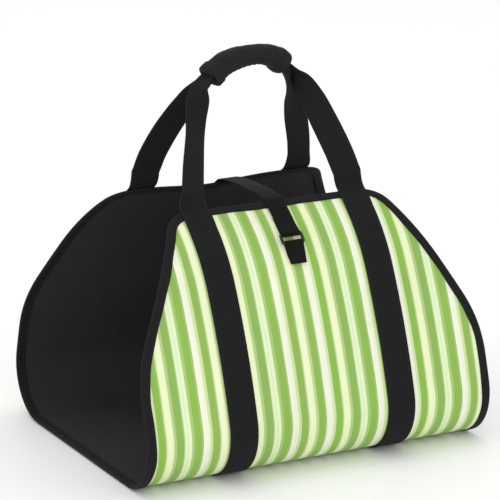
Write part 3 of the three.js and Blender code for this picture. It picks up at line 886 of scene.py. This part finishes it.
def puffed(piece, pinned):
    """Lets a closed cloth piece swell and crease under air pressure, with pinned points held."""
    rest = points_of(piece.data)
    group = piece.vertex_groups.new(name="held")
    group.add([int(i) for i in np.flatnonzero(pinned)], 1.0, "REPLACE")
    cloth = piece.modifiers.new("puff", "CLOTH")
    for name, value in PUFF.items():
        setattr(cloth.settings, name, value)
    cloth.settings.vertex_group_mass = group.name
    cloth.settings.effector_weights.gravity = 0.0
    cloth.point_cache.frame_start, cloth.point_cache.frame_end = 1, PUFF_FRAMES
    scene = bpy.context.scene
    for step in range(1, PUFF_FRAMES + 1):
        scene.frame_set(step)
    graph = bpy.context.evaluated_depsgraph_get()
    moved = points_of(piece.evaluated_get(graph).data) - rest
    normal = np.array([vertex.normal for vertex in piece.data.vertices])
    inwards = np.sum(moved * normal, axis=1, keepdims=True) < 0.0
    cap = np.where(inwards, PUFF_CAP["in"], PUFF_CAP["out"]) * MM
    moved *= np.minimum(1.0, cap / np.maximum(np.linalg.norm(moved, axis=1, keepdims=True), 1e-9))
    piece.modifiers.remove(cloth)
    piece.vertex_groups.remove(group)
    scene.frame_set(1)
    set_points(piece.data, rest + moved)


def grip_relief(along, girth):
    """Height in mm of the gathers, the seam and the folds, at distances along the grip and round it."""
    side = np.arange(len(girth))
    low = ease(GATHERS["low"], 1.0, np.cos(2.0 * np.pi * (side + 0.5) / len(side)))
    clear = ease(0.0, GATHERS["fade"], GRIP["length"] / 2 - GRIP_HEM - np.abs(along))
    size, rate = GATHERS["wander"]
    phase = along / GATHERS["step"] + size * np.sin(side * rate)
    gathers = GATHERS["height"] * np.sin(phase) * (clear * low)
    off = np.minimum(girth, girth[-1] - girth) / GRIP_SEAM["width"]
    height = gathers - GRIP_SEAM["depth"] * np.exp(-(off**2))
    for middle, share, slant, depth in GRIP_FOLDS:
        aside = girth / girth[-1] - share
        off = (along - middle - slant * aside) / FOLD_WIDTH
        height -= depth * (1.0 - off**2) * np.exp(-(off**2) / 2.0 - (aside / FOLD_REACH) ** 2)
    return height


def handle_grip():
    """Padded wrap with thick hems, creases where the arch bends it and a seam along its underside."""
    rows = grip_rows()
    count = len(rows)
    outside = [padded_ring(at, swell) for at, swell in rows]
    width, height = GRIP["hollow_half_width"], GRIP["hollow_half_height"]
    hollow = [grip_ring(at, width, height, height, GRIP["hollow_power"]) for at, _ in rows]
    rings = np.array(outside + hollow[::-1])
    girth = lengths_along(outside[count // 2])
    along = np.array([at for at, _ in rows + rows[::-1]])[:, None]
    flat = laid_flat(girth, along)
    piece = body("padded_grip", rings, flat, grip_look, "grip_cloth", "handle_grip", looped=True)
    free = np.zeros(rings.shape[:2], bool)
    free[:count] = np.abs(along[:count]) < GRIP["length"] / 2 - GRIP_HEM
    puffed(piece, ~free.ravel())
    points = points_of(piece.data).reshape(rings.shape) / MM
    outward = np.zeros_like(points)
    outward[:count] = unit(points[:count] - points[count:][::-1])
    points += outward * np.where(free, grip_relief(along, girth), 0.0)[..., None]
    set_points(piece.data, points * MM)


handle_grip()


# The closing strap, its tab and the ring


def flat_strap(name, path, widths, node):
    """A narrow strap square across X along a path in the plane of Y and Z."""
    along = unit(np.gradient(path, axis=0))
    out = np.stack([np.zeros(len(path)), -along[:, 2], along[:, 1]], axis=-1)
    section = flat_section(STRAP_WIDTH, STRAP_THICK, 8)
    rings = path[:, None] + out[:, None] * section[:, 1:]
    rings[..., 0] += section[:, 0] * (widths / STRAP_WIDTH)[:, None]
    flat = laid_flat(section[:, 0], lengths_along(path)[:, None])
    body(name, rings, flat, narrow_look, "narrow_webbing", node)


def bar_turn(bar, start, end):
    """Rows of (s, level, width) of a strap's turn round a bar, between two angles in degrees."""
    angles = np.radians(np.linspace(start, end, 14))
    s = bar + BAR_TURN["radius"] * np.cos(angles)
    level = RING["level"] + BAR_TURN["radius"] * np.sin(angles)
    return [(a, b, BAR_TURN["width"]) for a, b in zip(s, level)]


def strap_path(rows):
    """Smooth path and widths through rows of (s, level, width) on the middle line."""
    rows = np.array(rows)
    path = through(on_sheet(rows[:, 0], -skew(rows[:, 0]), rows[:, 1]), 3, 0.5)
    widths = np.interp(np.arange(len(path)) / 3.0, np.arange(len(rows)), rows[:, 2])
    return path, widths


def closing_strap():
    """Sewn to the back wall, over the mouth, round the ring's upper bar and back under itself."""
    back_s = np.linspace(STRAP_BACK_END, -HALF_LENGTH, 18)
    climb = ease(-STRAP_CLIMB, BUMP[1], -back_s)
    back = [(s, STRAP_LOW + (STRAP_HIGH - STRAP_LOW) * c, STRAP_WIDTH) for s, c in zip(back_s, climb)]
    front = [(s, STRAP_HIGH, STRAP_WIDTH) for s in np.linspace(HALF_LENGTH, STRAP_FLAT_FROM, 14)]
    front += bar_turn(RING["s"] + RING["span"] / 2, BAR_TURN["lead"], 270.0)
    front += [(STRAP_FLAT_FROM, STRAP_LOW, STRAP_WIDTH), (STRAP_TURNED_END, STRAP_LOW, STRAP_WIDTH)]
    back_path, back_widths = strap_path(back)
    front_path, front_widths = strap_path(front)
    reach = np.array([-HALF_LENGTH - BRIDGE_REACH, HALF_LENGTH + BRIDGE_REACH])
    ends = on_sheet(reach, -skew(reach), STRAP_HIGH)
    bridge = pulled([back_path[-1], *ends, front_path[0]], 36)
    path = np.concatenate([back_path, bridge, front_path])
    widths = np.concatenate([back_widths, np.full(len(bridge), STRAP_WIDTH), front_widths])
    flat_strap("closing_strap_webbing", path, widths, "closing_strap")


def buckle_tab():
    """Sewn on the front wall, up round the ring's lower bar and down over itself."""
    width = BAR_TURN["width"]
    rows = [(TAB_END + TAB_TUCK, STRAP_LOW, TAB_END_WIDTH), (TAB_FLAT_TO, STRAP_LOW, width)]
    rows += bar_turn(RING["s"] - RING["span"] / 2, -90.0, 180.0 - BAR_TURN["lead"])
    rows += [(TAB_FLAT_TO, STRAP_HIGH, width), (TAB_END, STRAP_HIGH, TAB_END_WIDTH)]
    flat_strap("buckle_tab_webbing", *strap_path(rows), "buckle_tab")


def buckle_ring():
    """Moulded ring with two round-edged bars and two wider sides."""
    centre = on_sheet(RING["s"], 0.0, RING["level"])
    up = unit(on_sheet(RING["s"] + 1.0, 0.0, RING["level"]) - centre)
    out = unit(on_sheet(RING["s"], 0.0, RING["level"] + 1.0) - centre)
    plane = np.array([[1.0, 0.0, 0.0], up])
    reach = np.array([(RING["width"] - RING_SIDE) / 2, RING["span"] / 2])
    radius = RING["corner"] - RING_BAR / 2
    bow = oval(np.radians(np.arange(16) * 360.0 / 16), RING_POWER)
    rings = []
    for turn, signs in enumerate(((1, 1), (-1, 1), (-1, -1), (1, -1))):
        for angle in np.radians(np.linspace(0.0, 90.0, 9) + 90.0 * turn):
            away = np.array([math.cos(angle), math.sin(angle)])
            broad = RING_SIDE * away[0] ** 2 + RING_BAR * away[1] ** 2
            spot = np.array(signs) * (reach - radius) + (radius + bow[:, :1] * broad / 2) * away
            rings.append(centre + spot @ plane + bow[:, 1:] * RING["thick"] / 2 * out)
    flat = np.zeros((len(rings), len(bow), 3))
    body("ring_moulding", rings, flat, plastic_look, "ring_plastic", "buckle_ring", looped=True)


closing_strap()
buckle_tab()
buckle_ring()


# Stitches


def stitch_tree():
    """Rows of stitches along the edges of a mesh: each a thread bead laid along the row."""
    tree = bpy.data.node_groups.new("stitch_rows", "GeometryNodeTree")
    sizes = dict.fromkeys(("Pitch", "Length", "Thickness", "Unevenness"), "Float")
    inputs = {"Rows": "Geometry", **sizes, "Seed": "Int", "Thread": "Material"}
    for name, kind in inputs.items():
        tree.interface.new_socket(name, in_out="INPUT", socket_type="NodeSocket" + kind)
    tree.interface.new_socket("Stitches", in_out="OUTPUT", socket_type="NodeSocketGeometry")

    def made(kind, output, inputs=None, **settings):
        return add(tree, kind, inputs, **settings).outputs[output]

    given = add(tree, "NodeGroupInput").outputs
    curve = made("GeometryNodeMeshToCurve", "Curve", {"Mesh": given["Rows"]})
    places = {"Curve": curve, "Length": given["Pitch"]}
    places = made("GeometryNodeResampleCurve", "Curve", places, mode="LENGTH")
    tangent = made("GeometryNodeInputTangent", "Tangent")
    along = made("FunctionNodeAlignRotationToVector", "Rotation", {"Vector": tangent}, axis="X")
    least, most = (calc(way, 1.0, given["Unevenness"]) for way in ("SUBTRACT", "ADD"))
    uneven = {2: least, 3: most, "Seed": given["Seed"]}
    uneven = made("FunctionNodeRandomValue", 1, uneven, data_type="FLOAT")
    size = {"X": given["Length"], "Y": given["Thickness"], "Z": given["Thickness"]}
    size = made("ShaderNodeCombineXYZ", 0, size)
    scale = made("ShaderNodeVectorMath", 0, {0: size, "Scale": uneven}, operation="SCALE")
    bead = made("GeometryNodeMeshUVSphere", "Mesh", {"Segments": 6, "Rings": 5, "Radius": 0.5})
    laid = {"Points": places, "Instance": bead, "Rotation": along, "Scale": scale}
    laid = made("GeometryNodeInstanceOnPoints", "Instances", laid)
    real = made("GeometryNodeRealizeInstances", "Geometry", {"Geometry": laid})
    dyed = made("GeometryNodeSetMaterial", "Geometry", {"Geometry": real, "Material": given["Thread"]})
    add(tree, "NodeGroupOutput", {"Stitches": dyed})
    return tree


STITCH_TREE = stitch_tree()


def stitched(name, rows, slot, seed, pitch=4.0, length=3.1, thickness=0.62):
    """A piece with the stitches of several rows of points. All sizes are in mm."""
    points, edges = [], []
    for row in rows:
        first = len(points)
        points += (row * MM).tolist()
        edges += [(i, i + 1) for i in range(first, len(points) - 1)]
    mesh = bpy.data.meshes.new(name + "_rows")
    mesh.from_pydata(points, edges, [])
    source = placed(name + "_rows", mesh)
    modifier = source.modifiers.new("stitches", "NODES")
    modifier.node_group = STITCH_TREE
    values = {
        "Pitch": pitch * MM,
        "Length": length * MM,
        "Thickness": thickness * MM,
        "Unevenness": STITCH_UNEVENNESS,
        "Seed": seed,
        "Thread": thread_look,
    }
    for item in STITCH_TREE.interface.items_tree:
        if item.name in values:
            modifier[item.identifier] = values[item.name]
    graph = bpy.context.evaluated_depsgraph_get()
    made = bpy.data.meshes.new_from_object(source.evaluated_get(graph))
    made.name = name
    bpy.data.objects.remove(source)
    made.shade_smooth()
    return dressed(placed(name, made), slot)


def closed(row):
    """A row of points that ends where it starts."""
    return np.concatenate([row, row[:1]])


def box_cross(span, x, half):
    """Rows of (s, x) round a sewn box, with a span along the sheet, and along its two diagonals."""
    low, high = span
    a, b, c, d = (low, x - half), (low, x + half), (high, x + half), (high, x - half)
    sides = ((a, b), (b, c), (c, d), (d, a), (a, c), (b, d))
    return [np.linspace(start, end, 24).T for start, end in sides]


def binding_rows():
    """Two rows round the edge, on the outside and on the inside."""
    levels = (BINDING_OUTER[1] + BINDING_STITCH["proud"], BINDING_INNER[0] - BINDING_STITCH["proud"])
    return [closed(off_edge(BINDING_STITCH["inward"], level)) for level in levels]


# Each run of webbing by wall and X, and how far its edge rows lie from its middle
SEWN_RUNS = [(front, side * WEBBING_X) for front in (1.0, -1.0) for side in (-1.0, 1.0)]
SEWN_HALF = WEBBING_WIDTH / 2 - STITCH_INSET


def webbing_rows():
    """Edge rows up both walls, and a crossed box below each top edge."""
    rows = []
    for front, x in SEWN_RUNS:
        s = front * np.linspace(*WEBBING_ROWS, 120)
        rows += [(s, x - SEWN_HALF), (s, x + SEWN_HALF)]
        rows += box_cross(front * np.array(WEBBING_BOX), x, SEWN_HALF)
    proud = WEBBING_THICK / 2 + STITCH_PROUD
    return [on_sheet(s, x, webbing_level(s) + proud) for s, x in rows]


def lining_rows():
    """The same edge rows as they come through on the lining."""
    s = np.linspace(*LINING_ROWS, 160)
    rows = [(front * s, x + reach) for front, x in SEWN_RUNS for reach in (-SEWN_HALF, SEWN_HALF)]
    return [on_sheet(s, x, LINING[0] - STITCH_PROUD) for s, x in rows]


def narrow_rows():
    """Crossed boxes on the narrow strap's back end and on the tab."""
    rows = []
    for box, level in ((STRAP_BOX, STRAP_LOW), (TAB_BOX, STRAP_HIGH)):
        level += STRAP_THICK / 2 + STITCH_PROUD
        flat = box_cross(box["span"], -skew(box["middle"]), box["half_width"])
        rows += [on_sheet(s, x, level) for s, x in flat]
    return rows


def hem_rows():
    """A row round each hem of the grip."""
    reach = GRIP["length"] / 2 - HEM_STITCH["inward"]
    return [closed(padded_ring(at, HEM_STITCH["proud"])) for at in (-reach, reach)]


binding_stitches = stitched("binding_stitches", binding_rows(), "binding_tape", 3)
stitched("webbing_stitches", webbing_rows(), "webbing", 5)
lining_stitches = stitched("lining_stitches", lining_rows(), "lining_cloth", 7)
stitched("narrow_stitches", narrow_rows(), "narrow_webbing", 9, 3.0, 2.3, 0.5)
stitched("grip_stitches", hem_rows(), "grip_cloth", 11, 3.4, 2.6, 0.55)


# The cut cloth


def cut_area():
    """Area of the flat cut in square metres."""
    s = np.linspace(-HALF_LENGTH, HALF_LENGTH, 2001)
    width = 2.0 * half_width_at(s)
    return float(np.sum((width[1:] + width[:-1]) / 2 * np.diff(s))) * MM * MM


cut_area()
cut_area()


# Stage, light and camera


def stage_floor():
    mesh = bpy.data.meshes.new("floor")
    corners = [(x * FLOOR_REACH, y * FLOOR_REACH, 0.0) for x, y in ((-1, -1), (1, -1), (1, 1), (-1, 1))]
    mesh.from_pydata(corners, [], [(0, 1, 2, 3)])
    material, tree, shader = new_material("pale_floor", 0.0, 0.1)
    place = add(tree, "ShaderNodeTexCoord").outputs["Object"]
    color = tinted(FLOOR_TONE, (noise(place, 1.5), 0.99, 1.01))
    tree.links.new(color, shader["Base Color"])
    mesh.materials.append(material)
    placed("floor", mesh)


def aimed(name, data, place, aim):
    """A light or a camera in a place, pointed at another."""
    thing = placed(name, data)
    thing.location = place
    thing.rotation_euler = (aim - thing.location).to_track_quat("-Z", "Y").to_euler()
    return thing


def studio():
    scene = bpy.context.scene
    scene.view_settings.view_transform = "Standard"
    world = bpy.data.worlds.new("studio")
    world.use_nodes = True
    background = world.node_tree.nodes["Background"].inputs
    background["Color"].default_value = (1.0, 1.0, 1.0, 1.0)
    background["Strength"].default_value = WORLD_STRENGTH
    scene.world = world
    for light in LIGHTS:
        data = bpy.data.lights.new(light["name"], "AREA")
        data.shape = "DISK"
        data.size = light["size"]
        data.energy = light["power"]
        aimed(light["name"], data, light["place"], LIGHT_AIM)


def photo_camera():
    data = bpy.data.cameras.new("camera")
    data.lens = LENS
    data.sensor_width = 36.0
    data.clip_end = 50.0
    level = math.cos(ELEVATION)
    back = Vector((math.sin(AZIMUTH) * level, -math.cos(AZIMUTH) * level, math.sin(ELEVATION)))
    place = CAMERA_PIVOT + back * CAMERA_DISTANCE
    bpy.context.scene.camera = aimed("camera", data, place, CAMERA_AIM)


stage_floor()
studio()
photo_camera()
